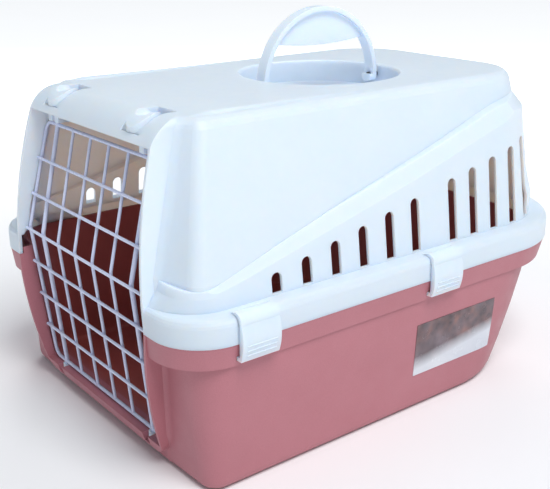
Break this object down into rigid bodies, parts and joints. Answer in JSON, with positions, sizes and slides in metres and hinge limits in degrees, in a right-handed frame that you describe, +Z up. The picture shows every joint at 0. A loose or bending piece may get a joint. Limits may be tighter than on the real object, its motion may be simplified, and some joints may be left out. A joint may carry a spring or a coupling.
{
  "type": "pet_carrier",
  "caption": "Plastic pet carrier: white vented cover over a pink tub, wire mesh door with sliding latches, side clips and a folding carry handle",
  "frame": {"origin": "centre of the bounding box in X and Y, on the floor", "axes": "+Z up, door faces -Y, length along Y, width along X"},
  "size_m": [0.3624, 0.478, 0.3505],
  "materials": {
    "pink_plastic": "fine matt moulded plastic, dusty pink",
    "white_plastic": "satin moulded plastic, cool white",
    "coated_wire": "white plastic-coated steel wire",
    "steel": "dark plain steel",
    "label": null
  },
  "bodies": {
    "shell": {"lower_tub": "pink_plastic", "upper_cover": "white_plastic", "handle_pin_front": "steel", "handle_pin_rear": "steel", "clip_pin_front_left": "steel", "clip_pin_front_right": "steel", "clip_pin_rear_left": "steel", "clip_pin_rear_right": "steel", "side_label": "label"},
    "door": {"door_frame_wire": "coated_wire", "door_upright_wires": "coated_wire", "door_cross_wires": "coated_wire", "door_rod_left": "coated_wire", "door_rod_right": "coated_wire", "door_bush_left": "white_plastic", "door_bush_right": "white_plastic"},
    "handle": {"carry_handle": "white_plastic"},
    "latch_left": {"door_latch_left": "white_plastic"},
    "latch_right": {"door_latch_right": "white_plastic"},
    "clip_front_left": {"clip_front_left": "white_plastic"},
    "clip_front_right": {"clip_front_right": "white_plastic"},
    "clip_rear_left": {"clip_rear_left": "white_plastic"},
    "clip_rear_right": {"clip_rear_right": "white_plastic"}
  },
  "joints": [
    {"name": "door_swing", "type": "hinge", "parent": "shell", "child": "door", "pos_m": [-0.0811, -0.2158, 0.0243], "axis": [0, -0.0467, -0.9989], "range_deg": [0, 105]},
    {"name": "handle_fold", "type": "hinge", "parent": "shell", "child": "handle", "pos_m": [0, 0.032, 0.2795], "axis": [0, 1, 0], "range_deg": [-90, 90]},
    {"name": "latch_left_slide", "type": "slide", "parent": "shell", "child": "latch_left", "axis": [0, 1, 0], "range_m": [0, 0.008]},
    {"name": "latch_right_slide", "type": "slide", "parent": "shell", "child": "latch_right", "axis": [0, 1, 0], "range_m": [0, 0.008]},
    {"name": "clip_front_left_flip", "type": "hinge", "parent": "shell", "child": "clip_front_left", "pos_m": [-0.169, -0.1743, 0.1494], "axis": [0, 1, 0], "range_deg": [0, 85]},
    {"name": "clip_front_right_flip", "type": "hinge", "parent": "shell", "child": "clip_front_right", "pos_m": [0.169, -0.1743, 0.1494], "axis": [0, -1, 0], "range_deg": [0, 85]},
    {"name": "clip_rear_left_flip", "type": "hinge", "parent": "shell", "child": "clip_rear_left", "pos_m": [-0.169, 0.03, 0.1494], "axis": [0, 1, 0], "range_deg": [0, 85]},
    {"name": "clip_rear_right_flip", "type": "hinge", "parent": "shell", "child": "clip_rear_right", "pos_m": [0.169, 0.03, 0.1494], "axis": [0, -1, 0], "range_deg": [0, 85]}
  ]
}
